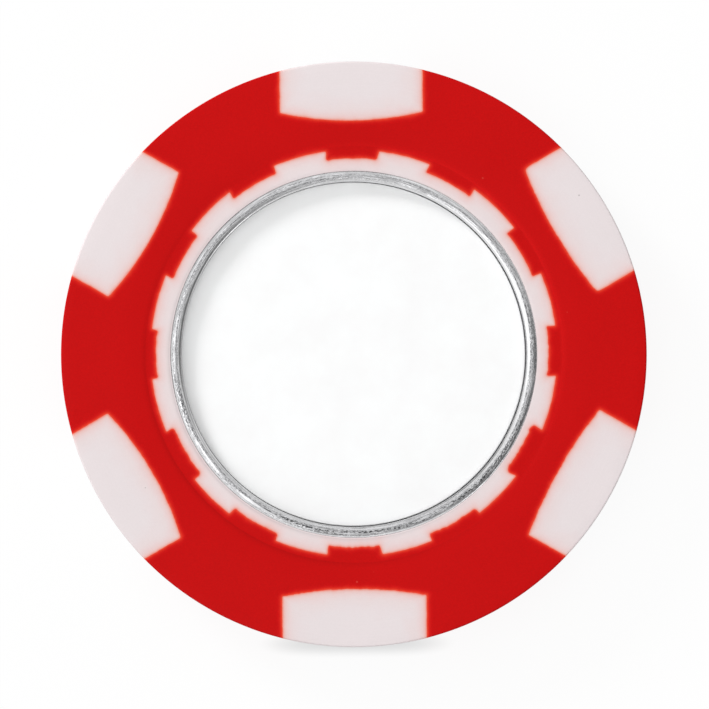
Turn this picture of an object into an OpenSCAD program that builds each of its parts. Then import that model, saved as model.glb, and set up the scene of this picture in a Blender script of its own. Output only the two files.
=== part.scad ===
// Poker chip with a lift-out ball marker.
// A white first-shot moulding, with hub, arms and edge spots in one piece, is locked inside a red
// second-shot moulding. A steel ring moulded into the hub gives the chip its weight, and a disc magnet
// in the floor of the front pocket holds a steel marker with a white face.
// The chip lies on its back with +Z up. The origin is the middle of the back face. Sizes are in millimetres.

/* [Chip] */
// Diameter over the rim
chip_d = 40; // [36:0.5:48]
// Thickness from face to face
chip_t = 4; // [3.7:0.1:6]
// Rounding along both edges of the rim
rim_edge_r = 0.15; // [0.1:0.05:0.8]
// Depth of the shallow round recess in each face
recess_depth = 0.1; // [0.05:0.05:0.3]
// Slope of the recess's step, measured across the face
recess_draft = 0.3; // [0.05:0.05:0.4]
// Red margin between the tips of the hub's teeth and the recess's step
recess_margin = 0.2; // [0.15:0.05:0.8]

/* [Edge spots] */
// Number of white spots round the rim
spot_count = 6; // [4:1:8]
// Width between a spot's parallel sides
spot_w = 9.8; // [6:0.2:12]
// Red bridge between the recess's step and the middle of a spot's inner edge
spot_bridge = 1.6; // [0.5:0.05:3.5]
// Radius of a spot's curved inner edge
spot_arc_r = 24; // [12:1:60]
// Rounding of a spot's two inner corners
spot_corner_r = 0.35; // [0.1:0.05:1]

/* [Toothed hub] */
// Teeth of the hub for each edge spot
teeth_per_spot = 2; // [1:1:3]
// Angle that one tooth takes up
tooth_deg = 15; // [6:0.5:18]
// Height of a tooth above the hub's root circle
tooth_h = 0.6; // [0.3:0.05:1]
// Wall of the hub between the pocket and the root circle
pocket_wall = 0.75; // [0.4:0.05:1.2]
// Width of the hidden arm from the hub to each spot
arm_w = 6; // [3:0.5:8]
// Thickness of the hidden arms, which end level with the pocket's floor
arm_t = 1.2; // [0.6:0.1:1.6]

/* [Marker] */
// Diameter of the marker
marker_d = 25; // [20:0.1:29]
// Height of the marker over its rim
marker_t = 2; // [1.6:0.05:2.3]
// Thickness of the sheet that the cup is drawn from
cup_sheet = 0.7; // [0.4:0.05:0.9]
// Rounding along the cup's bottom edge
cup_edge_r = 0.3; // [0.1:0.05:0.35]
// Rise of the rim's crown above its two edges
rim_crown = 0.12; // [0.08:0.01:0.2]
// Thickness of the white face disc
face_t = 0.5; // [0.1:0.05:0.6]
// Gap all round between the face disc and the cup
face_gap = 0.1; // [0.05:0.05:0.3]
// Gap all round between the marker and its pocket
marker_gap = 0.05; // [0.04:0.01:0.3]
// How far the marker's rim stands above the recess
rim_proud = 0.1; // [0.05:0.05:0.25]
// Lead-in bevel round the pocket's mouth
pocket_lead = 0.05; // [0.05:0.05:0.3]

/* [Magnet] */
// Diameter of the magnet
magnet_d = 10; // [6:0.5:14]
// Thickness of the magnet
magnet_t = 1; // [0.5:0.05:1.2]
// Gap for glue all round the magnet
magnet_gap = 0.05; // [0.02:0.01:0.2]
// How far the magnet lies below the pocket's floor
magnet_sink = 0.05; // [0:0.05:0.2]
// Bevel along both edges of the magnet
magnet_bevel = 0.15; // [0.05:0.05:0.2]

/* [Weight ring] */
// Thickness of the steel ring
weight_t = 0.8; // [0.4:0.05:1.1]
// Plastic between the magnet's seat and the ring
seat_wall = 0.95; // [0.5:0.05:2]
// How far the ring's outer edge lies inside the pocket's wall
weight_inset = 1.05; // [0.4:0.05:3]
// Number of holes in the back where pins held the ring in the mould
pin_count = 3; // [3:1:6]
// Diameter of those holes
pin_d = 1.4; // [0.8:0.1:2.4]

/* [Hidden] */
$fn = 128;

// Cuts run this far past the faces that they open
overshoot = 0.5;
// Direction of the first spot, towards +Y
first_spot_deg = 90;
spot_pitch = 360 / spot_count;
tooth_count = teeth_per_spot * spot_count;
tooth_pitch = 360 / tooth_count;

// Radii, from the marker outwards
marker_r = marker_d / 2;
cup_bore_r = marker_r - cup_sheet;
face_r = cup_bore_r - face_gap;
pocket_r = marker_r + marker_gap;
hub_root_r = pocket_r + pocket_wall;
hub_tip_r = hub_root_r + tooth_h;
recess_r = hub_tip_r + recess_margin;
recess_top_r = recess_r + recess_draft;
spot_in_r = recess_top_r + spot_bridge;
chip_r = chip_d / 2;
spot_depth = chip_r - spot_in_r;

// Radii of what lies under the pocket
magnet_r = magnet_d / 2;
seat_r = magnet_r + magnet_gap;
weight_in_r = seat_r + seat_wall;
weight_out_r = pocket_r - weight_inset;
pin_circle_r = (weight_in_r + weight_out_r) / 2;

// Heights above the back face
front_floor_z = chip_t - recess_depth;
pocket_floor_z = front_floor_z + rim_proud - marker_t;
seat_floor_z = pocket_floor_z - magnet_sink - magnet_t;
web_mid_z = (recess_depth + pocket_floor_z) / 2;
weight_z = web_mid_z - weight_t / 2;
arm_z = pocket_floor_z - arm_t;
face_z = pocket_floor_z + cup_sheet;

// Half a square with one rounded corner, at its far lower edge
module rounded_slab(r, h, edge) {
    translate([0, edge]) square([r, h - edge]);
    square([r - edge, h]);
    translate([r - edge, edge]) circle(r = edge);
}

// Half section of the step in one face, cut out of a plate whose face is at height 0
module recess_section() {
    polygon([
        [0, -recess_depth],
        [recess_r, -recess_depth],
        [recess_top_r, 0],
        [recess_top_r, overshoot],
        [0, overshoot]
    ]);
}

// The whole chip as one plain disc, with round rim edges and a recess in each face
module chip_blank() {
    rotate_extrude() difference() {
        union() {
            rounded_slab(chip_r, chip_t / 2, rim_edge_r);
            translate([0, chip_t]) mirror([0, 1]) rounded_slab(chip_r, chip_t / 2, rim_edge_r);
        }
        translate([0, chip_t]) recess_section();
        mirror([0, 1]) recess_section();
    }
}

// A sector of the plane about +X, longer than the given radius
module sector(r, deg) {
    reach = 2 * r;
    polygon([[0, 0], [reach, -reach * tan(deg / 2)], [reach, reach * tan(deg / 2)]]);
}

// Outline of the hub. A gap between two teeth faces each edge spot.
module hub_plan() {
    circle(r = hub_root_r);
    intersection() {
        circle(r = hub_tip_r);
        for (i = [0 : tooth_count - 1])
            rotate(first_spot_deg + (i + 0.5) * tooth_pitch) sector(hub_tip_r, tooth_deg);
    }
}

// Outline of one edge spot, from the middle of its inner edge outwards along +X: parallel sides and
// an inner edge that bulges towards the hub
module spot_plan() {
    // Middle of the rounding in a corner, which touches the side and the curved inner edge
    corner_y = spot_w / 2 - spot_corner_r;
    corner_x = spot_arc_r - sqrt(pow(spot_arc_r - spot_corner_r, 2) - pow(corner_y, 2));
    // Direction from that middle towards the curved edge
    edge_dir = [corner_x - spot_arc_r, corner_y] / (spot_arc_r - spot_corner_r);
    past = 3 * spot_corner_r;
    difference() {
        intersection() {
            translate([spot_arc_r, 0]) circle(r = spot_arc_r);
            translate([0, -spot_w / 2]) square([spot_depth + overshoot, spot_w]);
        }
        for (side = [0, 1]) mirror([0, side]) translate([corner_x, corner_y])
            polygon([[0, 0], [0, past], past * (edge_dir + [0, 1]), past * edge_dir]);
    }
    for (side = [0, 1]) mirror([0, side]) translate([corner_x, corner_y]) circle(r = spot_corner_r);
}

// What the white moulding fills: hub and spots from face to face, and the arms between them
module core_space() {
    translate([0, 0, -overshoot]) linear_extrude(chip_t + 2 * overshoot) {
        hub_plan();
        for (i = [0 : spot_count - 1]) rotate(first_spot_deg + i * spot_pitch)
            translate([spot_in_r, 0]) spot_plan();
    }
    for (i = [0 : spot_count - 1]) rotate(first_spot_deg + i * spot_pitch)
        translate([0, -arm_w / 2, arm_z]) cube([spot_in_r + spot_depth / 2, arm_w, arm_t]);
}

module red_body() {
    color("#c81517") difference() {
        chip_blank();
        core_space();
    }
}

module white_core() {
    color("#ebe1e1") difference() {
        intersection() {
            chip_blank();
            core_space();
        }
        // Pocket for the marker, with a bevelled mouth
        translate([0, 0, pocket_floor_z]) cylinder(r = pocket_r, h = chip_t);
        translate([0, 0, front_floor_z - pocket_lead])
            cylinder(r1 = pocket_r, r2 = pocket_r + pocket_lead, h = pocket_lead);
        // Seat for the magnet
        translate([0, 0, seat_floor_z]) cylinder(r = seat_r, h = chip_t);
        weight_ring();
        // Holes that the mould's pins leave under the ring
        for (i = [0 : pin_count - 1]) rotate(first_spot_deg + i * 360 / pin_count)
            translate([pin_circle_r, 0, 0]) cylinder(d = pin_d, h = weight_z + weight_t / 2);
    }
}

module weight_ring() {
    color("#8a8d90") translate([0, 0, weight_z]) rotate_extrude()
        translate([weight_in_r, 0]) square([weight_out_r - weight_in_r, weight_t]);
}

module magnet() {
    color("#b9bcc0") translate([0, 0, seat_floor_z]) rotate_extrude() polygon([
        [0, 0],
        [magnet_r - magnet_bevel, 0],
        [magnet_r, magnet_bevel],
        [magnet_r, magnet_t - magnet_bevel],
        [magnet_r - magnet_bevel, magnet_t],
        [0, magnet_t]
    ]);
}

// Drawn cup: a flat base, a straight wall and a rim whose top is crowned across the sheet's thickness
module marker_cup() {
    crown_r = (pow(cup_sheet / 2, 2) + pow(rim_crown, 2)) / (2 * rim_crown);
    color("#c9ccd0") translate([0, 0, pocket_floor_z]) rotate_extrude() {
        rounded_slab(marker_r, cup_sheet, cup_edge_r);
        intersection() {
            translate([cup_bore_r, cup_edge_r]) square([cup_sheet, marker_t]);
            union() {
                square([marker_r + overshoot, marker_t - crown_r]);
                translate([marker_r - cup_sheet / 2, marker_t - crown_r]) circle(r = crown_r);
            }
        }
    }
}

module marker_face() {
    color("#fcfcfc") translate([0, 0, face_z]) cylinder(r = face_r, h = face_t);
}

red_body();
white_core();
weight_ring();
magnet();
marker_cup();
marker_face();
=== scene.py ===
"""Poker chip with a lift-out ball marker: its fine meshes and finishes, the studio and the camera."""

import logging
import math
from dataclasses import dataclass, field
from enum import Enum
from typing import Iterable, Sequence

import bmesh
import bpy
import numpy as np
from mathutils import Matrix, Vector
from mathutils.geometry import delaunay_2d_cdt
from mathutils.kdtree import KDTree


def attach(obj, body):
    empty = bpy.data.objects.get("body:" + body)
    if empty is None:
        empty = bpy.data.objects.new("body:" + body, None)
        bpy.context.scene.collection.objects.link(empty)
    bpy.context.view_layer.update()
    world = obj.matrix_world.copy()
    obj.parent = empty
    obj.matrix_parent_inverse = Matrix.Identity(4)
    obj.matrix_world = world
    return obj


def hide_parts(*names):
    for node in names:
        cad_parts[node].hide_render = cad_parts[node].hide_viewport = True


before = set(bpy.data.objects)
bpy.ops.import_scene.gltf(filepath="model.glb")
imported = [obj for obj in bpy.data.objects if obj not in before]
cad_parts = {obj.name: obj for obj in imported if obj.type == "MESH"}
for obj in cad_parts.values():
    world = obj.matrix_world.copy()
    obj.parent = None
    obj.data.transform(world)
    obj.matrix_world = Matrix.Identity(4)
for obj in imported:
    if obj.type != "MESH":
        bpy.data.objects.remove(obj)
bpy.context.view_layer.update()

LOG = logging.getLogger("chip")
MM = 0.001
SEED = 417
CUP_SEED = SEED + 7

# Averages along a line stop at this many widths
SOFT_WIDTHS = 3
# Lengths squared below this count as this, so that nothing is divided by zero
TINY = 1e-12
# How Blender's triangulation is called: only inside the outlines, and what lies closer is one point
INSIDE_ONLY = 1
SAME_POINT = 1e-7
QUARTER = math.pi / 2

Pair = tuple[float, float]
Place = tuple[float, float, float]
# A range of numbers, and what its two ends become
Band = tuple[float, float, float, float]
# Display colours from 0 to 255, Blender's linear colours, and the places and colours of a ramp
Colour = tuple[int, int, int]
Linear = tuple[float, float, float, float]
Stops = tuple[tuple[float, Colour], ...]
# The end columns of each stretch of the rim, and the two points at each place of a window
Columns = dict[int, tuple[list[int], list[int]]]
Cuts = dict[int, tuple[int, int]]
Socket = bpy.types.NodeSocket


class Face(Enum):
    """The chip's two faces."""

    FRONT = "front"
    BACK = "back"


FACE_SEEDS = {Face.FRONT: SEED, Face.BACK: SEED + 1}


class Shot(Enum):
    """The two mouldings that share the chip's outline."""

    RED = "red"
    WHITE = "white"


class Ray(Enum):
    """Kinds of ray that a surface can tell apart, by their socket on the light path node."""

    CAMERA = "Is Camera Ray"
    GLOSSY = "Is Glossy Ray"
    TRANSMISSION = "Is Transmission Ray"


def linear(red: int, green: int, blue: int) -> Linear:
    """Turns a display colour into Blender's linear colour, by the usual sRGB curve.

    Args:
        red: Red, 0 to 255.
        green: Green, 0 to 255.
        blue: Blue, 0 to 255.

    Returns:
        Linear red, green, blue and full opacity.
    """
    out = []
    for level in (red, green, blue):
        share = level / 255.0
        out.append(share / 12.92 if share <= 0.04045 else ((share + 0.055) / 1.055) ** 2.4)
    return (out[0], out[1], out[2], 1.0)


def graded(stops: Stops) -> list[tuple[float, Linear]]:
    """Turns a ramp's display colours into linear ones."""
    return [(place, linear(*colour)) for place, colour in stops]


def smooth_noise(rng: np.random.Generator, count: int, reach: float) -> np.ndarray:
    """Makes closed, smooth noise with a spread of one.

    Args:
        rng: Seeded source.
        count: Number of samples round the loop.
        reach: Width of the smoothing, in samples.

    Returns:
        One value for each sample.
    """
    waves = np.fft.rfftfreq(count)
    spectrum = np.fft.rfft(rng.normal(size=count)) * np.exp(-0.5 * (2 * np.pi * waves * reach) ** 2)
    values = np.fft.irfft(spectrum, count)
    return values / values.std()


def soften(points: np.ndarray, reach: float, closed: bool) -> np.ndarray:
    """Rounds the corners of a line by averaging along it.

    Args:
        points: Points at an even spacing.
        reach: Width of the averaging, in points.
        closed: True for a loop, False for a line whose ends stay.

    Returns:
        As many points, with soft corners.
    """
    half = math.ceil(SOFT_WIDTHS * reach)
    weights = np.exp(-0.5 * (np.arange(-half, half + 1) / reach) ** 2)
    weights /= weights.sum()
    if closed:
        padded = np.concatenate([points[-half:], points, points[:half]])
    else:
        before = 2 * points[0] - points[half:0:-1]
        after = 2 * points[-1] - points[-2:-half - 2:-1]
        padded = np.concatenate([before, points, after])
    columns = [np.convolve(padded[:, axis], weights, mode="valid") for axis in range(points.shape[1])]
    return np.stack(columns, axis=1)


def turned(points: np.ndarray, degrees: float) -> np.ndarray:
    """Turns points about the chip's axis.

    Args:
        points: Points in the plane.
        degrees: Angle, positive from +X to +Y.

    Returns:
        The turned points.
    """
    angle = math.radians(degrees)
    spin = np.array([[math.cos(angle), math.sin(angle)], [-math.sin(angle), math.cos(angle)]])
    return points @ spin


def turns(count: int) -> np.ndarray:
    """Even angles round the axis, in radians."""
    return np.arange(count) * 2 * np.pi / count


def circle(radius: float | np.ndarray, angles: np.ndarray) -> np.ndarray:
    """Points in the plane at a distance from the axis, one for each angle."""
    return np.stack([radius * np.cos(angles), radius * np.sin(angles)], axis=1)


def raised(points: np.ndarray, height: float | np.ndarray) -> np.ndarray:
    """Points of the plane lifted to one height or to one each."""
    return np.column_stack([points, np.broadcast_to(height, (len(points),))])


def between(start: Pair, end: Pair, shares: np.ndarray) -> np.ndarray:
    """Rows on the straight way from one pair of numbers to another."""
    return np.array(start) + np.outer(shares, np.subtract(end, start))


def nearest(points: np.ndarray) -> KDTree:
    """Makes a search tree of points in the plane.

    Args:
        points: The points.

    Returns:
        The tree.
    """
    tree = KDTree(len(points))
    for number, (x, y) in enumerate(points):
        tree.insert((x, y, 0.0), number)
    tree.balance()
    return tree


def line_distance(points: np.ndarray, lines: Sequence[tuple[np.ndarray, bool]]) -> np.ndarray:
    """Distance of points from the nearest of some lines.

    Args:
        points: Points in the plane.
        lines: Each line's points, and whether it is a loop.

    Returns:
        One distance for each point.
    """
    starts, ends, before = [], [], []
    total = 0
    for line, closed in lines:
        following = np.roll(line, -1, axis=0)
        if not closed:
            following[-1] = line[-1]
        starts.append(line)
        ends.append(following)
        numbers = total + np.arange(len(line))
        before.append(np.roll(numbers, 1) if closed else np.maximum(numbers - 1, total))
        total += len(line)
    start, end, previous = np.concatenate(starts), np.concatenate(ends), np.concatenate(before)
    tree = nearest(start)
    hit = np.array([tree.find((x, y, 0.0))[1] for x, y in points])
    best = np.full(len(points), np.inf)
    for number in (hit, previous[hit]):
        origin = start[number]
        along = end[number] - origin
        length = np.maximum((along ** 2).sum(axis=1), TINY)
        share = np.clip(((points - origin) * along).sum(axis=1) / length, 0.0, 1.0)
        gap = points - origin - along * share[:, None]
        best = np.minimum(best, np.hypot(gap[:, 0], gap[:, 1]))
    return best


def cut_up(flat: np.ndarray, regions: list[list[int]]) -> list[tuple[tuple[int, ...], list[int]]]:
    """Cuts a part of the plane into triangles that follow its outlines.

    Args:
        flat: Points in the plane.
        regions: Outlines, as the numbers of their points.

    Returns:
        Each triangle's corners, and the outlines that it lies in.
    """
    vectors = [Vector(point) for point in flat]
    made = delaunay_2d_cdt(vectors, [], regions, INSIDE_ONLY, SAME_POINT, True)
    verts, _, faces, old_verts, _, old_faces = made
    if len(verts) != len(flat) or any(old != [number] for number, old in enumerate(old_verts)):
        raise ValueError("points of the plan were merged or moved")
    return [(tuple(corners), list(owners)) for corners, owners in zip(faces, old_faces)]


@dataclass(frozen=True)
class ChipSizes:
    """The chip's sizes in millimetres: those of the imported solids, and finer ones from the photograph."""

    chip_r: float = 20.0
    chip_t: float = 4.0
    rim_edge_r: float = 0.15
    rim_draft: float = 0.012
    recess_depth: float = 0.1
    recess_crisp: float = 0.045
    recess_foot: float = 14.2
    recess_bend: float = 0.05
    recess_fade: float = 0.16
    recess_dish_r: float = 15.9
    step_from: float = 14.08
    step_to: float = 14.88
    hub_root_r: float = 13.3
    hub_tip_r: float = 13.865
    teeth: int = 12
    tooth_deg: float = 15.0
    dovetail: float = 0.02
    spots: int = 6
    spot_w: float = 9.82
    first_spot_deg: float = 30.0
    arm_w: float = 6.0
    arm_low_z: float = 0.8
    arm_high_z: float = 2.0
    pocket_r: float = 12.51
    pocket_lead: float = 0.01
    pocket_floor_z: float = 2.0
    seat_r: float = 5.05
    seat_floor_z: float = 0.95
    void_in_r: float = 6.0
    void_out_r: float = 11.5
    void_low_z: float = 0.65
    void_high_z: float = 1.45
    pins: int = 3
    pin_r: float = 0.7
    pin_circle_r: float = 8.75
    first_pin_deg: float = 90.0

    @property
    def flat_r(self) -> float:
        """Radius where the flat face ends and the rim's rounding begins."""
        return self.chip_r - self.rim_edge_r

    @property
    def mouth_r(self) -> float:
        """Radius of the pocket's bevelled mouth."""
        return self.pocket_r + self.pocket_lead

    def spot_deg(self, index: int) -> float:
        """Direction of a spot's middle."""
        return self.first_spot_deg + index * 360.0 / self.spots

    def height(self, radius: np.ndarray, face: Face) -> np.ndarray:
        """Height of a face above the table: a crisp step at the recess's foot and a shallow dish round it.

        Args:
            radius: Distances from the axis.
            face: Which face.

        Returns:
            One height for each distance.
        """
        out = np.asarray(radius) - self.recess_foot
        eased = self.recess_bend * np.logaddexp(0.0, out / self.recess_bend)
        crisp = 1 - np.exp(-eased / self.recess_fade)
        share = np.clip(out / (self.recess_dish_r - self.recess_foot), 0.0, 1.0)
        dish = share * share * (3 - 2 * share)
        sunk = self.recess_crisp * (1 - crisp) + (self.recess_depth - self.recess_crisp) * (1 - dish)
        return self.chip_t - sunk if face is Face.FRONT else sunk


@dataclass(frozen=True)
class ToothEdge:
    """How the red tab at one place of the hub came out of the mould, in millimetres.

    The reach is how far its end goes further inwards, and ragged is how far its edge strays. Pairs are for
    its clockwise and its anticlockwise side: ears point inwards at the corners, flare widens the end, and
    sides move the whole side anticlockwise.
    """

    reach: float
    ragged: float
    ears: Pair = (0.03, 0.03)
    flare: Pair = (0.0, 0.0)
    fillet: float = 0.09
    sides: Pair = (0.0, 0.0)


@dataclass(frozen=True)
class SpotEdge:
    """How the inner edge and the sides of one spot came out of the mould, in millimetres.

    The inner edge is an arc, ragged is how far it strays, and its corners are softened. The sides move
    anticlockwise, the clockwise one first.
    """

    inner_r: float
    arc_r: float
    ragged: float
    corner: float = 0.075
    sides: Pair = (0.0, 0.0)


@dataclass
class Outlines:
    """Borders between the two mouldings, as lines of points on one face."""

    hub: np.ndarray
    spots: list[np.ndarray]


@dataclass
class BorderMaker:
    """Draws the borders between red and white, with the small faults that moulding leaves.

    Names that end in _n count points along a line. The tabs run anticlockwise from +X, and the spots run
    anticlockwise from the first spot.
    """

    sizes: ChipSizes
    shift: Pair = (0.0, 0.09)
    step: float = 0.03
    keep: int = 2
    tab_corners: int = 4
    tab_n: int = 124
    tab_fine_n: int = 400
    fillet_n: int = 24
    spot_side_n: int = 84
    spot_arc_n: int = 330
    corner_soft: float = 0.075
    waver: float = 0.006
    side_waver: float = 0.04
    ear_w: float = 0.13
    blend_n: float = 4.0
    fade_n: float = 20.0
    ragged_n: float = 2.2
    lump_n: float = 11.0
    lump_from: float = 0.012
    fine_share: float = 0.6
    coarse_share: float = 0.9
    coarser: float = 2.7
    plain_inner_r: float = 16.0
    plain_arc_r: float = 24.0
    tabs: tuple[ToothEdge, ...] = (
        ToothEdge(0.03, 0.012, sides=(0.11, 0.0)),
        ToothEdge(0.04, 0.006, sides=(0.02, -0.09)),
        ToothEdge(0.03, 0.006, sides=(0.17, 0.01)),
        ToothEdge(0.03, 0.009, (0.0, 0.03), fillet=0.13, sides=(-0.04, -0.03)),
        ToothEdge(-0.02, 0.008, fillet=0.15, sides=(0.05, -0.03)),
        ToothEdge(-0.02, 0.008, fillet=0.15, sides=(0.09, -0.14)),
        ToothEdge(-0.19, 0.010, (0.06, 0.06), (-0.18, -0.18), 0.15, (0.0, -0.08)),
        ToothEdge(0.01, 0.012, (0.05, 0.04), (-0.06, -0.11), 0.24, (-0.08, 0.15)),
        ToothEdge(-0.05, 0.012, (0.11, 0.0), (-0.06, 0.0), 0.2, (-0.23, -0.12)),
        ToothEdge(0.05, 0.024, (0.09, 0.10), (-0.12, -0.10), 0.17, (-0.18, 0.12)),
        ToothEdge(-0.12, 0.026, (0.13, 0.0), (-0.03, -0.1), 0.14, (-0.08, 0.08)),
        ToothEdge(0.22, 0.026, (0.0, 0.0), (0.08, 0.0), 0.3, (-0.03, -0.05)),
    )
    spot_edges: tuple[SpotEdge, ...] = (
        SpotEdge(16.04, 28.0, 0.010, 0.19, (0.07, 0.0)),
        SpotEdge(15.94, 21.5, 0.006, sides=(0.06, 0.0)),
        SpotEdge(15.93, 21.0, 0.006, sides=(0.06, -0.02)),
        SpotEdge(15.92, 21.0, 0.008, sides=(-0.06, -0.06)),
        SpotEdge(16.0, 27.0, 0.012, sides=(-0.11, -0.10)),
        SpotEdge(16.04, 31.0, 0.012, sides=(-0.02, -0.02)),
    )

    def hub(self, face: Face, rng: np.random.Generator) -> np.ndarray:
        """Draws the toothed outline of the hub.

        Args:
            face: Which face; the back has even edges.
            rng: Seeded source for the ragged edges.

        Returns:
            A closed line of points.
        """
        s = self.sizes
        pitch = math.radians(360.0 / s.teeth)
        edges = self.tabs if face is Face.FRONT else (ToothEdge(0.0, self.waver),) * s.teeth
        sway = rng.normal(size=(s.teeth, self.tab_corners)) * self.side_waver
        roots = [s.hub_root_r - edge.reach for edge in edges]
        tip_n = int(s.hub_tip_r * math.radians(s.tooth_deg) / self.step)
        side_n = int((s.hub_tip_r - s.hub_root_r) / self.step)
        up = np.linspace(0, 1, side_n, endpoint=False)
        parts: list[np.ndarray] = []
        rough: list[np.ndarray] = []
        for index, edge in enumerate(edges):
            after = (index + 1) % s.teeth
            first, _, last, rise = self.tab_angles(index * pitch, edge, sway[index])
            foot, fall, _, _ = self.tab_angles((index + 1) * pitch, edges[after], sway[after])
            tab = self.tab(roots[index], first, last, edge)
            tip = np.linspace(rise, fall, tip_n, endpoint=False)
            landing = roots[after] + edges[after].fillet - edges[after].ears[0]
            parts += [
                tab,
                between((tab[-1, 0], last), (s.hub_tip_r, rise), up),
                np.stack([np.full(tip_n, s.hub_tip_r), tip], axis=1),
                between((s.hub_tip_r, fall), (landing, foot), up),
            ]
            rough += [np.full(len(tab), edge.ragged), np.full(side_n + tip_n + side_n, self.waver)]
        polar = np.concatenate(parts)
        points = soften(circle(polar[:, 0], polar[:, 1]), self.corner_soft / self.step, closed=True)
        amount = soften(np.concatenate(rough)[:, None], self.blend_n, closed=True)[:, 0]
        lumps = np.maximum(amount - self.lump_from, 0.0)
        points = self.roughen(points, amount, rng, self.ragged_n, closed=True)
        points = self.roughen(points, lumps, rng, self.lump_n, closed=True)
        return points[::self.keep] + np.array(self.shift)

    def tab_angles(
        self, centre: float, edge: ToothEdge, sway: np.ndarray
    ) -> tuple[float, float, float, float]:
        """Angles of the four corners of one red tab.

        Args:
            centre: Angle of its middle in radians.
            edge: How this tab came out.
            sway: How far each corner strays, in millimetres.

        Returns:
            Its clockwise side, at the tab's end and at the tips of the teeth, then its anticlockwise side.
        """
        s = self.sizes
        half = (math.radians(360.0 / s.teeth) - math.radians(s.tooth_deg)) / 2
        low, high = centre - half, centre + half
        first = low - (s.dovetail + edge.flare[0] - edge.sides[0] + sway[0]) / s.hub_root_r
        last = high + (s.dovetail + edge.flare[1] + edge.sides[1] + sway[1]) / s.hub_root_r
        rise = high - (s.dovetail - edge.sides[1] + sway[2]) / s.hub_tip_r
        fall = low + (s.dovetail + edge.sides[0] + sway[3]) / s.hub_tip_r
        return first, fall, last, rise

    def tab(self, root_r: float, first: float, last: float, edge: ToothEdge) -> np.ndarray:
        """Draws the inner end of one red tab, with its two filleted corners.

        Args:
            root_r: Radius of its edge.
            first: Angle of its clockwise side in radians.
            last: Angle of its anticlockwise side in radians.
            edge: How this tab came out.

        Returns:
            Rows of radius and angle, from side to side.
        """
        turn = np.linspace(0.0, QUARTER, self.fillet_n)
        ends = edge.fillet / root_r
        along = np.linspace(first + ends, last - ends, self.tab_fine_n)[1:-1]
        outer = root_r + edge.fillet * (1 - np.sin(turn))
        inner = root_r + edge.fillet * (1 - np.cos(turn))
        radii = np.concatenate([outer, np.full(len(along), root_r), inner])
        angles = np.concatenate([first + ends * (1 - np.cos(turn)), along, last - ends * (1 - np.sin(turn))])
        from_ends = np.stack([angles - first, last - angles]) * root_r / self.ear_w
        radii = radii - np.array(edge.ears) @ np.exp(-0.5 * from_ends ** 2)
        travelled = np.concatenate([[0.0], np.cumsum(np.hypot(np.diff(radii), root_r * np.diff(angles)))])
        stops = np.linspace(0.0, travelled[-1], self.tab_n)
        return np.stack([np.interp(stops, travelled, radii), np.interp(stops, travelled, angles)], axis=1)

    def roughen(
        self, points: np.ndarray, amount: np.ndarray, rng: np.random.Generator, reach: float, closed: bool
    ) -> np.ndarray:
        """Moves the points of a line to and fro across it.

        Args:
            points: The line.
            amount: How far, for each point.
            rng: Seeded source.
            reach: Width of the smallest lumps, in points.
            closed: True for a loop, False for a line.

        Returns:
            The ragged line.
        """
        ahead, behind = np.roll(points, -1, axis=0), np.roll(points, 1, axis=0)
        if not closed:
            ahead[-1], behind[0] = points[-1], points[0]
        along = ahead - behind
        along /= np.hypot(along[:, 0], along[:, 1])[:, None]
        across = np.stack([along[:, 1], -along[:, 0]], axis=1)
        fine = smooth_noise(rng, len(points), reach)
        coarse = smooth_noise(rng, len(points), self.coarser * reach)
        noise = self.fine_share * fine + self.coarse_share * coarse
        return points + across * (amount * noise)[:, None]

    def spot(self, index: int, face: Face, rng: np.random.Generator) -> np.ndarray:
        """Draws one spot's border from the rim's rounding inwards, across and back out.

        Args:
            index: Which spot, counted from the first.
            face: Which face; the back has even edges.
            rng: Seeded source for the ragged edge.

        Returns:
            A line of points whose ends lie where the rim's rounding begins.
        """
        s = self.sizes
        edge = SpotEdge(self.plain_inner_r, self.plain_arc_r, self.waver)
        if face is Face.FRONT:
            edge = self.spot_edges[index]
        low, high = self.sides(index)
        middle, half = (low + high) / 2, (high - low) / 2
        side_n, arc_n = self.spot_side_n, self.spot_arc_n
        corner = edge.inner_r + edge.arc_r - math.sqrt(edge.arc_r ** 2 - half ** 2)
        inwards = np.linspace(math.sqrt(s.flat_r ** 2 - low ** 2), corner, side_n, endpoint=False)
        across = np.linspace(-half, half, arc_n, endpoint=False)
        outwards = np.linspace(corner, math.sqrt(s.flat_r ** 2 - high ** 2), side_n + 1)
        curve = edge.inner_r + edge.arc_r - np.sqrt(edge.arc_r ** 2 - across ** 2)
        points = np.concatenate([
            np.stack([inwards, np.full(side_n, low)], axis=1),
            np.stack([curve, middle + across], axis=1),
            np.stack([outwards, np.full(side_n + 1, high)], axis=1),
        ])
        ends = points[0].copy(), points[-1].copy()
        points = soften(points, edge.corner / self.step, closed=False)
        amount = np.full(len(points), self.waver)
        amount[side_n:side_n + arc_n] = edge.ragged
        number = np.arange(len(points))
        fade = np.clip(np.minimum(number, number[::-1]) / self.fade_n, 0.0, 1.0)
        points = self.roughen(points, amount * fade, rng, self.ragged_n, closed=False)[::self.keep]
        points[0], points[-1] = ends
        return turned(points, s.spot_deg(index))

    def sides(self, index: int) -> Pair:
        """Where the two sides of a spot lie across its own middle line.

        Args:
            index: Which spot.

        Returns:
            Offsets of the clockwise and the anticlockwise side.
        """
        angle = math.radians(self.sizes.spot_deg(index))
        across = -self.shift[0] * math.sin(angle) + self.shift[1] * math.cos(angle)
        low, high = self.spot_edges[index].sides
        return across - self.sizes.spot_w / 2 + low, across + self.sizes.spot_w / 2 + high

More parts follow.
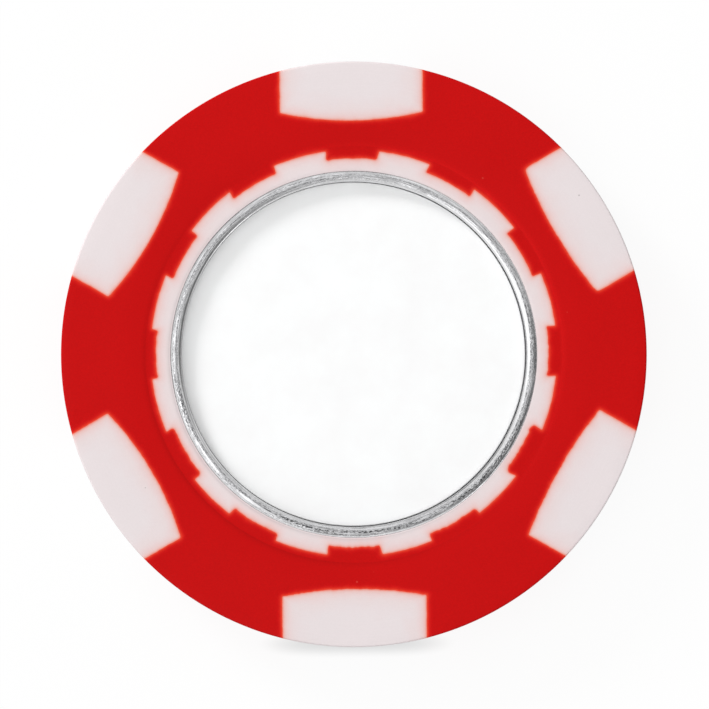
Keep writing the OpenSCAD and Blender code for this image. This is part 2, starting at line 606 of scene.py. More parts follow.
    def draw(self, face: Face) -> Outlines:
        """Draws all borders of one face.

        Args:
            face: Which face.

        Returns:
            The hub's outline and the spots' borders.
        """
        rng = np.random.default_rng(FACE_SEEDS[face])
        hub = self.hub(face, rng)
        return Outlines(hub, [self.spot(index, face, rng) for index in range(self.sizes.spots)])


class MeshSoup:
    """Collects one piece's points in millimetres, their distances from the colour border, and its faces."""

    FAR = 9.0
    MOST_CORNERS = 4

    def __init__(self) -> None:
        """Starts empty."""
        self.points: list[Place] = []
        self.border: list[float] = []
        self.faces: list[tuple[int, ...]] = []

    def add(self, points: np.ndarray, border: np.ndarray | float = FAR) -> list[int]:
        """Adds points.

        Args:
            points: Rows of x, y, z.
            border: Distance from the colour border, for all points or for each.

        Returns:
            The points' numbers.
        """
        first = len(self.points)
        self.points.extend(map(tuple, np.asarray(points, float).tolist()))
        levels = np.broadcast_to(np.asarray(border, float), (len(points),))
        self.border.extend(levels.tolist())
        return list(range(first, len(self.points)))

    def peak(self, height: float) -> int:
        """Adds one point on the axis and returns its number."""
        return self.add(np.array([[0.0, 0.0, height]]))[0]

    def strip(self, one: Sequence[int], two: Sequence[int], closed: bool) -> None:
        """Joins two rows of points by four-sided faces.

        Args:
            one: First row.
            two: Second row, as long as the first.
            closed: True if the rows are loops.
        """
        count = len(one)
        for here in range(count if closed else count - 1):
            after = (here + 1) % count
            self.faces.append((one[here], one[after], two[after], two[here]))

    def fan(self, row: Sequence[int], centre: int) -> None:
        """Closes a loop with triangles to one point.

        Args:
            row: The loop.
            centre: The point.
        """
        for here in range(len(row)):
            self.faces.append((row[here], row[(here + 1) % len(row)], centre))

    def revolve(self, profile: Iterable[Pair], row: Sequence[int], angles: np.ndarray) -> list[int]:
        """Carries a loop of points along a profile of radius and height.

        Args:
            profile: Pairs of radius and height, after the first row.
            row: The loop to start from.
            angles: Angle of each of its points.

        Returns:
            The last loop.
        """
        for radius, height in profile:
            following = self.add(raised(circle(radius, angles), height))
            self.strip(row, following, closed=True)
            row = following
        return list(row)

    def shift(self, by: Pair) -> None:
        """Moves all points sideways."""
        self.points = [(x + by[0], y + by[1], z) for x, y, z in self.points]

    def build(self, name: str, sharp_deg: float) -> bpy.types.Object:
        """Makes the Blender object.

        Args:
            name: The piece's name.
            sharp_deg: Edges that turn more than this stay sharp.

        Returns:
            The object, linked to the scene.
        """
        bm = bmesh.new()
        layer = bm.verts.layers.float.new("border")
        verts = [bm.verts.new((x * MM, y * MM, z * MM)) for x, y, z in self.points]
        for vert, level in zip(verts, self.border):
            vert[layer] = level
        for face in self.faces:
            bm.faces.new([verts[number] for number in face])
        bm.verts.index_update()
        loose = [vert for vert in bm.verts if not vert.link_faces]
        bmesh.ops.delete(bm, geom=loose, context="VERTS")
        wide = [face for face in bm.faces if len(face.verts) > self.MOST_CORNERS]
        bmesh.ops.triangulate(bm, faces=wide, quad_method="BEAUTY", ngon_method="BEAUTY")
        bmesh.ops.recalc_face_normals(bm, faces=bm.faces[:])
        open_edges = sum(1 for edge in bm.edges if len(edge.link_faces) != 2)
        mesh = bpy.data.meshes.new(name)
        bm.to_mesh(mesh)
        bm.free()
        mesh.polygons.foreach_set("use_smooth", np.ones(len(mesh.polygons), bool))
        mesh.set_sharp_from_angle(angle=math.radians(sharp_deg))
        mesh.update()
        obj = bpy.data.objects.new(name, mesh)
        bpy.context.scene.collection.objects.link(obj)
        counts = len(mesh.vertices), len(mesh.polygons), open_edges
        LOG.info("%s: %d points, %d faces, %d open edges", name, *counts)
        return obj


@dataclass
class FacePlan:
    """One face cut into triangles: its points, each moulding's triangles, and the lines that it follows."""

    points: np.ndarray
    border: np.ndarray
    triangles: dict[Shot, list[tuple[int, ...]]]
    hub: list[int]
    spots: list[list[int]]
    rim: list[list[int]]
    mouth: list[int]
    holes: list[list[int]]


@dataclass(frozen=True)
class Lattice:
    """Points at one spacing, kept where their distance from a border lies in a range."""

    pitch: float
    least: float
    most: float


@dataclass
class FacePlanner:
    """Cuts one face of the chip into triangles that follow the borders.

    The shares are parts of a lattice's pitch: between its rows, and clear of edges and of the recess's step.
    """

    sizes: ChipSizes
    borders: BorderMaker
    mouth_n: int = 300
    hole_n: int = 40
    step_n: int = 330
    step_rows: int = 11
    columns: dict[Shot, int] = field(default_factory=lambda: {Shot.WHITE: 28, Shot.RED: 30})
    lattices: tuple[Lattice, ...] = (Lattice(0.1, 0.05, 0.3), Lattice(0.24, 0.3, 1.2), Lattice(0.7, 1.2, 9.0))
    row_share: float = 0.866
    edge_share: float = 0.6
    step_share: float = 0.5

    def rim_angles(self, part: int, radius: float) -> np.ndarray:
        """Angles of the columns on one stretch of the rim.

        Args:
            part: Stretch, counted from the first spot: even for white, odd for red.
            radius: Distance from the axis.

        Returns:
            The columns' angles.
        """
        s = self.sizes
        spot = part // 2
        pitch = 2 * math.pi / s.spots
        here = math.radians(s.first_spot_deg) + spot * pitch
        low, high = self.borders.sides(spot)
        if part % 2 == 0:
            shot, start, end = Shot.WHITE, here + math.asin(low / radius), here + math.asin(high / radius)
        else:
            following = self.borders.sides((spot + 1) % s.spots)[0]
            shot, start = Shot.RED, here + math.asin(high / radius)
            end = here + pitch + math.asin(following / radius)
        return np.linspace(start, end, self.columns[shot] + 1)

    def inner_points(self, lines: np.ndarray, holes: list[np.ndarray], face: Face) -> np.ndarray:
        """Points between the lines, close together near a border and wide apart far from it.

        Args:
            lines: All points on the borders.
            holes: Loops that are left open.
            face: Which face.

        Returns:
            Points in the plane.
        """
        s = self.sizes
        tree = nearest(lines)
        found: list[np.ndarray] = []
        for lattice in self.lattices:
            pitch = lattice.pitch
            clear, step_clear = pitch * self.edge_share, pitch * self.step_share
            across = np.arange(-s.chip_r, s.chip_r, pitch)
            rows = []
            for row in range(int(2 * s.chip_r / (pitch * self.row_share)) + 2):
                aside = pitch / 2 if row % 2 else 0.0
                up = np.full(len(across), -s.chip_r + row * pitch * self.row_share)
                rows.append(np.stack([across + aside, up], axis=1))
            grid = np.concatenate(rows)
            radius = np.hypot(grid[:, 0], grid[:, 1])
            inner = s.mouth_r + clear if face is Face.FRONT else 0.0
            ok = (radius < s.flat_r - clear) & (radius > inner)
            ok &= (radius < s.step_from - step_clear) | (radius > s.step_to + step_clear)
            for loop in holes:
                centre = loop.mean(axis=0)
                reach = np.hypot(*(loop[0] - centre))
                ok &= np.hypot(grid[:, 0] - centre[0], grid[:, 1] - centre[1]) > reach + clear
            grid = grid[ok]
            away = np.array([tree.find((x, y, 0.0))[2] for x, y in grid])
            found.append(grid[(away >= lattice.least) & (away < lattice.most)])
        return np.concatenate(found)

    def plan(self, face: Face) -> FacePlan:
        """Cuts one face.

        Args:
            face: Which face.

        Returns:
            The plan of that face.
        """
        s = self.sizes
        outlines = self.borders.draw(face)
        points: list[np.ndarray] = []
        total = 0

        def put(block: np.ndarray) -> list[int]:
            """Adds a block of points.

            Args:
                block: Points in the plane.

            Returns:
                Their numbers.
            """
            nonlocal total
            points.append(block)
            total += len(block)
            return list(range(total - len(block), total))

        stretches = 2 * s.spots
        rim = [put(circle(s.flat_r, self.rim_angles(part, s.flat_r))[:-1]) for part in range(stretches)]
        for part in range(stretches):
            rim[part].append(rim[(part + 1) % stretches][0])
        hub = put(outlines.hub)
        spots = []
        for index, line in enumerate(outlines.spots):
            stretch = rim[2 * index]
            spots.append([stretch[0]] + put(line[1:-1]) + [stretch[-1]])
        mouth: list[int] = []
        holes: list[list[int]] = []
        loops: list[np.ndarray] = []
        if face is Face.FRONT:
            mouth = put(circle(s.mouth_r, turns(self.mouth_n)))
        else:
            for pin in range(s.pins):
                middle = turned(np.array([[s.pin_circle_r, 0.0]]), s.first_pin_deg + pin * 360.0 / s.pins)
                loops.append(circle(s.pin_r, turns(self.hole_n)) + middle)
                holes.append(put(loops[-1]))
        for radius in np.linspace(s.step_from, s.step_to, self.step_rows):
            put(circle(float(radius), turns(self.step_n)))
        put(self.inner_points(np.concatenate([outlines.hub] + outlines.spots), loops, face))

        flat = np.concatenate(points)
        disc = [number for stretch in rim for number in stretch[:-1]]
        regions = [disc, hub] + [rim[2 * index][:-1] + spots[index][:0:-1] for index in range(s.spots)]
        cut_from = len(regions)
        regions += ([mouth] if mouth else []) + holes
        triangles: dict[Shot, list[tuple[int, ...]]] = {Shot.RED: [], Shot.WHITE: []}
        for corners, owners in cut_up(flat, regions):
            if max(owners) < cut_from:
                triangles[Shot.WHITE if max(owners) > 0 else Shot.RED].append(corners)
        radius = np.hypot(flat[:, 0], flat[:, 1])
        border = line_distance(flat, [(outlines.hub, True)] + [(line, False) for line in outlines.spots])
        solid = raised(flat, s.height(radius, face))
        return FacePlan(solid, border, triangles, hub, spots, rim, mouth, holes)


@dataclass
class Moulding:
    """One of the two mouldings: its share of the faces and the rim, and its walls along the other one.

    Lengths are in millimetres. In the pocket, the lip's rows are shares of its bevel, the rounds are shares
    of its soft corners, and the floor's and the seat's rows are shares of their radius.
    """

    shot: Shot
    sizes: ChipSizes
    planner: FacePlanner
    front: FacePlan
    back: FacePlan
    edge_rows: int = 9
    wide_row: float = 0.6
    middle_row: float = 0.02
    arm_margin: float = 1.5
    soft: float = 0.08
    lip_rows: tuple[Pair, ...] = ((0.6, 0.9), (0.2, 0.5))
    lip_drop: float = 0.03
    wall_round: float = 0.3
    seat_round: float = 0.25
    floor_row: float = 0.7
    seat_row: float = 0.5
    void_n: int = 180
    sharp_deg: float = 38.0

    def rim_profile(self) -> list[Pair]:
        """Radius and height of the rim's rows, from the front face to the back face.

        Returns:
            The rows, which follow the rounded edge and then a faint draft out to the middle.
        """
        s = self.sizes
        middle = s.chip_t / 2
        reach = s.rim_edge_r - s.rim_draft * (middle - s.rim_edge_r)
        top = []
        for turn in np.linspace(0.0, QUARTER, self.edge_rows):
            drop = s.rim_edge_r * (1 - math.cos(turn))
            top.append((s.flat_r + reach * math.sin(turn), s.chip_t - drop))
        top.append((s.chip_r - s.rim_draft * self.wide_row, middle + self.wide_row))
        top.append((s.chip_r, middle + self.middle_row))
        return top + [(radius, s.chip_t - height) for radius, height in reversed(top)]

    def place_faces(self, soup: MeshSoup) -> tuple[dict[int, int], dict[int, int]]:
        """Adds this moulding's triangles of both faces.

        Args:
            soup: The piece being made.

        Returns:
            For the front and the back, the soup's number of each point of the plan.
        """
        maps = []
        for plan in (self.front, self.back):
            triangles = plan.triangles[self.shot]
            used = sorted({number for corners in triangles for number in corners})
            mapping = dict(zip(used, soup.add(plan.points[used], plan.border[used])))
            soup.faces.extend(tuple(mapping[number] for number in corners) for corners in triangles)
            maps.append(mapping)
        return maps[0], maps[1]

    def place_rim(self, soup: MeshSoup, front: dict[int, int], back: dict[int, int]) -> Columns:
        """Adds this moulding's stretches of the rim.

        Args:
            soup: The piece being made.
            front: The soup's numbers of the front plan's points.
            back: The same for the back.

        Returns:
            For each stretch, its first and its last column from front to back.
        """
        ends: Columns = {}
        for part in range(0 if self.shot is Shot.WHITE else 1, 2 * self.sizes.spots, 2):
            rows = [[front[number] for number in self.front.rim[part]]]
            for radius, height in self.rim_profile()[1:-1]:
                angles = self.planner.rim_angles(part, radius)
                away = radius * np.minimum(np.sin(angles - angles[0]), np.sin(angles[-1] - angles))
                rows.append(soup.add(raised(circle(radius, angles), height), np.maximum(away, 0.0)))
            rows.append([back[number] for number in self.back.rim[part]])
            for one, two in zip(rows, rows[1:]):
                soup.strip(one, two, closed=False)
            ends[part] = ([row[0] for row in rows], [row[-1] for row in rows])
        return ends

    def window(self, line: np.ndarray, spot: int) -> list[int]:
        """The points of a border where an arm passes, in the border's own order.

        Args:
            line: The border's points on the front face.
            spot: Which spot the arm leads to.

        Returns:
            Places along the line.
        """
        s = self.sizes
        out, aside = turned(line, -s.spot_deg(spot)).T
        beside = (np.abs(aside) < s.arm_w / 2) & (out > 0) & (out < s.flat_r - self.arm_margin)
        inside = np.where(beside)[0]
        return list(range(int(inside[0]), int(inside[-1]) + 1))

    def wall(
        self, soup: MeshSoup, tops: list[int], bottoms: list[int], windows: list[list[int]], closed: bool
    ) -> Cuts:
        """Adds the wall along one border, open where arms pass.

        Args:
            soup: The piece being made.
            tops: The border's points on the front face.
            bottoms: The same points on the back face.
            windows: Places along the border where each arm passes.
            closed: True for a loop.

        Returns:
            For each place in a window, the points at the window's lower and upper edge.
        """
        s = self.sizes
        cut: Cuts = {}
        for place in sorted({place for group in windows for place in group}):
            high, low = np.array(soup.points[tops[place]]), np.array(soup.points[bottoms[place]])
            pair = []
            for level in (s.arm_low_z, s.arm_high_z):
                share = (level - low[2]) / (high[2] - low[2])
                pair.append(low + (high - low) * share)
            numbers = soup.add(np.array(pair), 0.0)
            cut[place] = (numbers[0], numbers[1])
        count = len(tops)
        for here in range(count if closed else count - 1):
            after = (here + 1) % count
            if here in cut and after in cut:
                soup.faces.append((tops[here], cut[here][1], cut[after][1], tops[after]))
                soup.faces.append((cut[here][0], bottoms[here], bottoms[after], cut[after][0]))
            else:
                near = [cut[here][1], cut[here][0]] if here in cut else []
                far = [cut[after][0], cut[after][1]] if after in cut else []
                soup.faces.append((tops[here], *near, bottoms[here], bottoms[after], *far, tops[after]))
        return cut

    def place_walls(self, soup: MeshSoup, front: dict[int, int], back: dict[int, int], ends: Columns) -> None:
        """Adds the walls along all borders and the faces of the arms between them.

        Args:
            soup: The piece being made.
            front: The soup's numbers of the front plan's points.
            back: The same for the back.
            ends: The rim's end columns from place_rim.
        """
        s = self.sizes
        hub_line = self.front.points[self.front.hub][:, :2]
        hub_windows = [self.window(hub_line, spot) for spot in range(s.spots)]
        tops = [front[number] for number in self.front.hub]
        bottoms = [back[number] for number in self.back.hub]
        hub_cut = self.wall(soup, tops, bottoms, hub_windows, True)
        for spot in range(s.spots):
            places = self.window(self.front.points[self.front.spots[spot]][:, :2], spot)
            tops = [front[number] for number in self.front.spots[spot]]
            bottoms = [back[number] for number in self.back.spots[spot]]
            cut = self.wall(soup, tops, bottoms, [places], False)
            inner = [hub_cut[place] for place in hub_windows[spot]]
            outer = [cut[place] for place in places]
            loop = inner + outer[::-1]
            for level in (0, 1):
                soup.faces.append(tuple(pair[level] for pair in loop))
            for end in (0, -1):
                soup.faces.append((inner[end][0], inner[end][1], outer[end][1], outer[end][0]))
            part = 2 * spot
            if self.shot is Shot.WHITE:
                soup.faces += [tuple(ends[part][0]), tuple(ends[part][1])]
            else:
                soup.faces += [tuple(ends[(part - 1) % (2 * s.spots)][1]), tuple(ends[part + 1][0])]

    def pocket_profile(self) -> list[Pair]:
        """Radius and height of the rows down the marker's pocket and the magnet's seat, below the mouth.

        Returns:
            The rows, with soft corners between the walls and the floors.
        """
        s, soft = self.sizes, self.soft
        lip_z = s.chip_t - s.recess_depth - s.pocket_lead
        lip = [(s.pocket_r + s.pocket_lead * out, lip_z + s.pocket_lead * up) for out, up in self.lip_rows]
        wall_in, seat_in = soft * self.wall_round, soft * self.seat_round
        return lip + [
            (s.pocket_r, lip_z - self.lip_drop),
            (s.pocket_r, s.pocket_floor_z + soft),
            (s.pocket_r - wall_in, s.pocket_floor_z + wall_in),
            (s.pocket_r - soft, s.pocket_floor_z),
            (s.pocket_r * self.floor_row, s.pocket_floor_z),
            (s.seat_r + soft, s.pocket_floor_z),
            (s.seat_r + seat_in, s.pocket_floor_z - seat_in),
            (s.seat_r, s.pocket_floor_z - soft),
            (s.seat_r, s.seat_floor_z + soft),
            (s.seat_r - soft, s.seat_floor_z),
            (s.seat_r * self.seat_row, s.seat_floor_z),
        ]

    def place_pocket(self, soup: MeshSoup, front: dict[int, int]) -> None:
        """Adds the hub's pocket and the magnet's seat.

        Args:
            soup: The piece being made.
            front: The soup's numbers of the front plan's points.
        """
        mouth = [front[number] for number in self.front.mouth]
        row = soup.revolve(self.pocket_profile(), mouth, turns(len(mouth)))
        soup.fan(row, soup.peak(self.sizes.seat_floor_z))

    def place_void(self, soup: MeshSoup, back: dict[int, int]) -> None:
        """Adds the weight ring's space and the pin holes that lead to it.

        Args:
            soup: The piece being made.
            back: The soup's numbers of the back plan's points.
        """
        s = self.sizes
        angles = turns(self.void_n)
        holes = [[back[number] for number in hole] for hole in self.back.holes]
        blocks = [circle(s.void_out_r, angles), circle(s.void_in_r, angles)]
        blocks += [np.array([soup.points[number][:2] for number in hole]) for hole in holes]
        regions: list[list[int]] = []
        for block in blocks:
            first = regions[-1][-1] + 1 if regions else 0
            regions.append(list(range(first, first + len(block))))
        flat = np.concatenate(blocks)
        floor = soup.add(raised(flat, s.void_low_z))
        for corners, owners in cut_up(flat, regions):
            if owners == [0]:
                soup.faces.append(tuple(floor[number] for number in corners))
        low_out, low_in, *rims = [[floor[number] for number in region] for region in regions]
        high_out = soup.revolve([(s.void_out_r, s.void_high_z)], low_out, angles)
        high_in = soup.revolve([(s.void_in_r, s.void_high_z)], low_in, angles)
        soup.strip(high_out, high_in, closed=True)
        for hole, rim in zip(holes, rims):
            soup.strip(hole, rim, closed=True)

    def build(self, name: str) -> bpy.types.Object:
        """Makes the whole moulding.

        Args:
            name: The piece's name.

        Returns:
            The object.
        """
        soup = MeshSoup()
        front, back = self.place_faces(soup)
        ends = self.place_rim(soup, front, back)
        self.place_walls(soup, front, back, ends)
        if self.shot is Shot.WHITE:
            self.place_pocket(soup, front)
            self.place_void(soup, back)
        return soup.build(name, self.sharp_deg)


@dataclass(frozen=True)
class Grain:
    """Noise on a surface: the size of its lumps, its finer layers, and the range of its values that counts.

    A squeeze below one draws the noise out round the chip's axis.
    """

    size_mm: float
    detail: float = 2.0
    rough: float = 0.5
    low: float = 0.3
    high: float = 0.7
    squeeze: float = 1.0


class Nodes:
    """Short names for the nodes of one material or world."""

    def __init__(self, tree: bpy.types.NodeTree) -> None:
        """Takes a tree."""
        self.tree = tree

    def add(self, kind: str, **settings: object) -> bpy.types.Node:
        """Adds a node and sets its properties.

        Args:
            kind: Blender's name of the node.
            settings: Properties by name.

        Returns:
            The node.
        """
        node = self.tree.nodes.new(kind)
        for name, value in settings.items():
            setattr(node, name, value)
        return node

    def link(self, source: Socket, target: Socket) -> None:
        """Joins an output to an input."""
        self.tree.links.new(source, target)

    def feed(self, target: Socket, value: object) -> None:
        """Sets an input from a number, a colour or another node's output.

        Args:
            target: The input.
            value: A socket, or what to write into the input.
        """
        if isinstance(value, Socket):
            self.link(value, target)
        else:
            target.default_value = value

    def math(self, operation: str, one: object, two: object = 0.0, clamp: bool = False) -> Socket:
        """Adds a sum of two numbers.

        Args:
            operation: Blender's name of the operation.
            one: First number or socket.
            two: Second number or socket.
            clamp: True to keep the result from 0 to 1.

        Returns:
            The result.
        """
        node = self.add("ShaderNodeMath", operation=operation, use_clamp=clamp)
        self.feed(node.inputs[0], one)
        self.feed(node.inputs[1], two)
        return node.outputs[0]

    def times(self, first: Socket, *factors: object) -> Socket:
        """Multiplies a number by others.

        Args:
            first: The number.
            factors: Numbers or sockets.

        Returns:
            The product.
        """
        for factor in factors:
            first = self.math("MULTIPLY", first, factor)
        return first

    def rest(self, share: Socket) -> Socket:
        """What a share leaves of one."""
        return self.math("SUBTRACT", 1.0, share)

    def place(self) -> Socket:
        """The point's own coordinates in metres."""
        return self.add("ShaderNodeTexCoord").outputs["Object"]

    def split(self, where: Socket) -> tuple[Socket, Socket, Socket]:
        """Takes coordinates apart.

        Args:
            where: The coordinates.

        Returns:
            Their x, y and z.
        """
        node = self.add("ShaderNodeSeparateXYZ")
        self.link(where, node.inputs[0])
        x, y, z = node.outputs
        return x, y, z

    def join(self, *parts: object) -> Socket:
        """Puts coordinates together.

        Args:
            parts: Up to three numbers or sockets, for x, y and z.

        Returns:
            The coordinates.
        """
        node = self.add("ShaderNodeCombineXYZ")
        for target, part in zip(node.inputs, parts):
            self.feed(target, part)
        return node.outputs[0]

    def polar(self, where: Socket) -> tuple[Socket, Socket, Socket]:
        """Turns coordinates into an angle, a distance from the chip's axis and a height.

        Args:
            where: Coordinates in metres.

        Returns:
            Angle in radians, distance and height in metres.
        """
        x, y, z = self.split(where)
        squares = self.math("ADD", self.times(x, x), self.times(y, y))
        return self.math("ARCTAN2", y, x), self.math("SQRT", squares), z

    def noise(self, where: Socket, grain: Grain) -> Socket:
        """Adds noise around one half.

        Args:
            where: Coordinates in metres.
            grain: What it looks like.

        Returns:
            The noise.
        """
        node = self.add("ShaderNodeTexNoise")
        self.link(where, node.inputs["Vector"])
        node.inputs["Scale"].default_value = 1.0 / (grain.size_mm * MM)
        node.inputs["Detail"].default_value = grain.detail
        node.inputs["Roughness"].default_value = grain.rough
        return node.outputs["Fac"]

    def spread(self, value: Socket, low: float, high: float, to_low: float, to_high: float) -> Socket:
        """Maps a range of numbers to another and stops at its ends.

        Args:
            value: The number.
            low: Start of its range.
            high: End of its range.
            to_low: What the start becomes.
            to_high: What the end becomes.

        Returns:
            The mapped number.
        """
        node = self.add("ShaderNodeMapRange")
        self.link(value, node.inputs["Value"])
        levels = {"From Min": low, "From Max": high, "To Min": to_low, "To Max": to_high}
        for name, level in levels.items():
            node.inputs[name].default_value = level
        return node.outputs["Result"]

    def ease(self, value: Socket, grain: Grain, to_low: float = 0.0, to_high: float = 1.0) -> Socket:
        """Maps the part of a noise's values that counts to a range."""
        return self.spread(value, grain.low, grain.high, to_low, to_high)

    def swing(self, where: Socket, grain: Grain, middle: float, by: float) -> Socket:
        """Adds noise that swings about a middle value by a difference."""
        return self.ease(self.noise(where, grain), grain, middle - by, middle + by)

    def specks(self, where: Socket, apart_mm: float, size_mm: float, share: float) -> Socket:
        """Adds sparse small dots.

        Args:
            where: Coordinates in metres.
            apart_mm: How far apart dots can lie.
            size_mm: Size of a dot.
            share: Share of the places that have one.

        Returns:
            1 in a dot and 0 elsewhere.
        """
        node = self.add("ShaderNodeTexVoronoi")
        self.link(where, node.inputs["Vector"])
        node.inputs["Scale"].default_value = 1.0 / (apart_mm * MM)
        parts = self.add("ShaderNodeSeparateColor")
        self.link(node.outputs["Color"], parts.inputs[0])
        reach = self.times(parts.outputs[1], size_mm / apart_mm)
        near = self.math("LESS_THAN", node.outputs["Distance"], reach)
        return self.times(near, self.math("LESS_THAN", parts.outputs[0], share))

    def ramp(self, value: Socket, stops: Sequence[tuple[float, Linear]]) -> Socket:
        """Adds a ramp of colours.

        Args:
            value: Place along the ramp.
            stops: Places and colours.

        Returns:
            The colour.
        """
        node = self.add("ShaderNodeValToRGB")
        band = node.color_ramp
        band.elements[0].position, band.elements[0].color = stops[0]
        band.elements[1].position, band.elements[1].color = stops[-1]
        for position, colour in stops[1:-1]:
            band.elements.new(position).color = colour
        self.link(value, node.inputs["Fac"])
        return node.outputs["Color"]

    def mix(self, share: Socket, one: Socket, two: Linear) -> Socket:
        """Mixes two colours.

        Args:
            share: Share of the second colour.
            one: First colour.
            two: Second colour.

        Returns:
            The mixed colour.
        """
        node = self.add("ShaderNodeMixRGB")
        for target, value in zip(node.inputs, (share, one, two)):
            self.feed(target, value)
        return node.outputs[0]

    def scaled(self, colour: Socket, factor: Socket) -> Socket:
        """Multiplies a colour by a number.

        Args:
            colour: The colour.
            factor: The number.

        Returns:
            The product.
        """
        node = self.add("ShaderNodeVectorMath", operation="SCALE")
        self.link(colour, node.inputs[0])
        self.link(factor, node.inputs["Scale"])
        return node.outputs[0]

    def seeing(self, *rays: Ray) -> Socket:
        """Adds a test for kinds of ray.

        Args:
            rays: The kinds to tell apart from the rest.

        Returns:
            1 for these rays and 0 for all others.
        """
        path = self.add("ShaderNodeLightPath")
        total = path.outputs[rays[0].value]
        for ray in rays[1:]:
            total = self.math("ADD", total, path.outputs[ray.value], clamp=True)
        return total

    def bump(self, height: Socket, depth_mm: float) -> Socket:
        """Turns heights into a rough surface.

        Args:
            height: Heights from 0 to 1.
            depth_mm: What a height of 1 measures.

        Returns:
            The normal.
        """
        node = self.add("ShaderNodeBump")
        node.inputs["Distance"].default_value = depth_mm * MM
        self.link(height, node.inputs["Height"])
        return node.outputs["Normal"]


class Finish:
    """A surface finish that makes one material."""

    name = "finish"

    def make(self) -> bpy.types.Material:
        """Makes the material with its main shader.

        Returns:
            The material.
        """
        material = bpy.data.materials.new(self.name)
        material.use_nodes = True
        nodes = Nodes(material.node_tree)
        shader = material.node_tree.nodes["Principled BSDF"]
        for name, value in self.dress(nodes).items():
            nodes.feed(shader.inputs[name], value)
        return material

    def dress(self, nodes: Nodes) -> dict[str, object]:
        """Fills in the material's nodes.

        Args:
            nodes: The tree.

        Returns:
            What goes into each input of the main shader.
        """
        raise NotImplementedError


@dataclass(frozen=True)
class ShotPlastic(Finish):
    """Satin moulded plastic whose colour changes towards the other moulding, which shows through its edge.

    Painted shade runs along a step in the face, paler towards one side as painted light. Lines are fine
    turned marks.
    """

    name: str = "plastic"
    reach_mm: float = 1.0
    stops: Stops = ((0.0, (255, 255, 255)), (1.0, (255, 255, 255)))
    waver: Grain = Grain(0.9, 2.0, 0.5, 0.25, 0.75)
    waver_range: Pair = (0.8, 1.25)
    cloud: Grain = Grain(6.0, 3.0)
    mottle: float = 0.02
    fine: Grain = Grain(0.12, 3.0, 0.65, 0.25, 0.75)
    grain: float = 0.02
    speck: Colour = (236, 110, 96)
    speck_share: float = 0.25
    speck_mix: float = 0.22
    speck_apart_mm: float = 1.1
    speck_size_mm: float = 0.08
    # Painted shade along a step in the face: its depth, how far one side is painted paler and the other
    # darker, towards where, its radius and widths
    painted_step_shade: float = 0.0
    painted_side_light: float = 0.0
    painted_light_toward_deg: float = 55.0
    painted_step_r: float = 14.24
    painted_step_w: Pair = (0.06, 0.5)
    line: Grain = Grain(0.11, 3.0, 0.6)
    lines: float = 0.0
    sheen: Grain = Grain(1.6, 4.0, 0.6)
    sheen_swing: float = 0.05
    roughness: float = 0.45
    specular: float = 0.4
    skin: Grain = Grain(0.07)
    peel: Grain = Grain(0.35)
    peel_share: float = 1.4
    grain_depth_mm: float = 0.0016

    def dress(self, nodes: Nodes) -> dict[str, object]:
        """Fills in the material's nodes.

        Args:
            nodes: The tree.

        Returns:
            What goes into each input of the main shader.
        """
        where = nodes.place()
        turn, radius, _ = nodes.polar(where)
        border = nodes.add("ShaderNodeAttribute", attribute_name="border").outputs["Fac"]
        away = nodes.times(border, nodes.ease(nodes.noise(where, self.waver), self.waver, *self.waver_range))
        colour = nodes.ramp(nodes.spread(away, 0.0, self.reach_mm, 0.0, 1.0), graded(self.stops))
        cloudy = nodes.swing(where, self.cloud, 1.0, self.mottle)
        colour = nodes.scaled(colour, nodes.times(cloudy, nodes.swing(where, self.fine, 1.0, self.grain)))
        if self.painted_step_shade:
            colour = nodes.scaled(colour, self.painted_step_light(nodes, turn, radius))
        if self.lines:
            colour = nodes.scaled(colour, nodes.swing(nodes.join(radius), self.line, 1.0, self.lines))
        dots = nodes.specks(where, self.speck_apart_mm, self.speck_size_mm, self.speck_share)
        peel = nodes.times(nodes.noise(where, self.peel), self.peel_share)
        skin = nodes.math("ADD", nodes.noise(where, self.skin), peel)
        return {
            "Base Color": nodes.mix(nodes.times(dots, self.speck_mix), colour, linear(*self.speck)),
            "Roughness": nodes.swing(where, self.sheen, self.roughness, self.sheen_swing),
            "Normal": nodes.bump(skin, self.grain_depth_mm),
            "Specular IOR Level": self.specular,
        }

    def painted_step_light(self, nodes: Nodes, turn: Socket, radius: Socket) -> Socket:
        """Adds painted shade along a step in the face, paler towards one side as painted light.

        Args:
            nodes: The tree.
            turn: Angle in radians.
            radius: Distance from the axis.

        Returns:
            The colour's factor, 1 away from the step.
        """
        off = nodes.math("SUBTRACT", radius, self.painted_step_r * MM)
        rise = nodes.spread(off, -self.painted_step_w[0] * MM, 0.0, 0.0, 1.0)
        fade = nodes.spread(off, 0.0, self.painted_step_w[1] * MM, 1.0, 0.0)
        side = nodes.math("COSINE", nodes.math("SUBTRACT", turn, math.radians(self.painted_light_toward_deg)))
        # Painted shade along the step, painted paler towards one side and darker towards the other
        step_light_and_shade = nodes.math("SUBTRACT", nodes.times(side, self.painted_side_light), self.painted_step_shade)
        return nodes.math("ADD", nodes.times(step_light_and_shade, rise, fade, fade), 1.0)


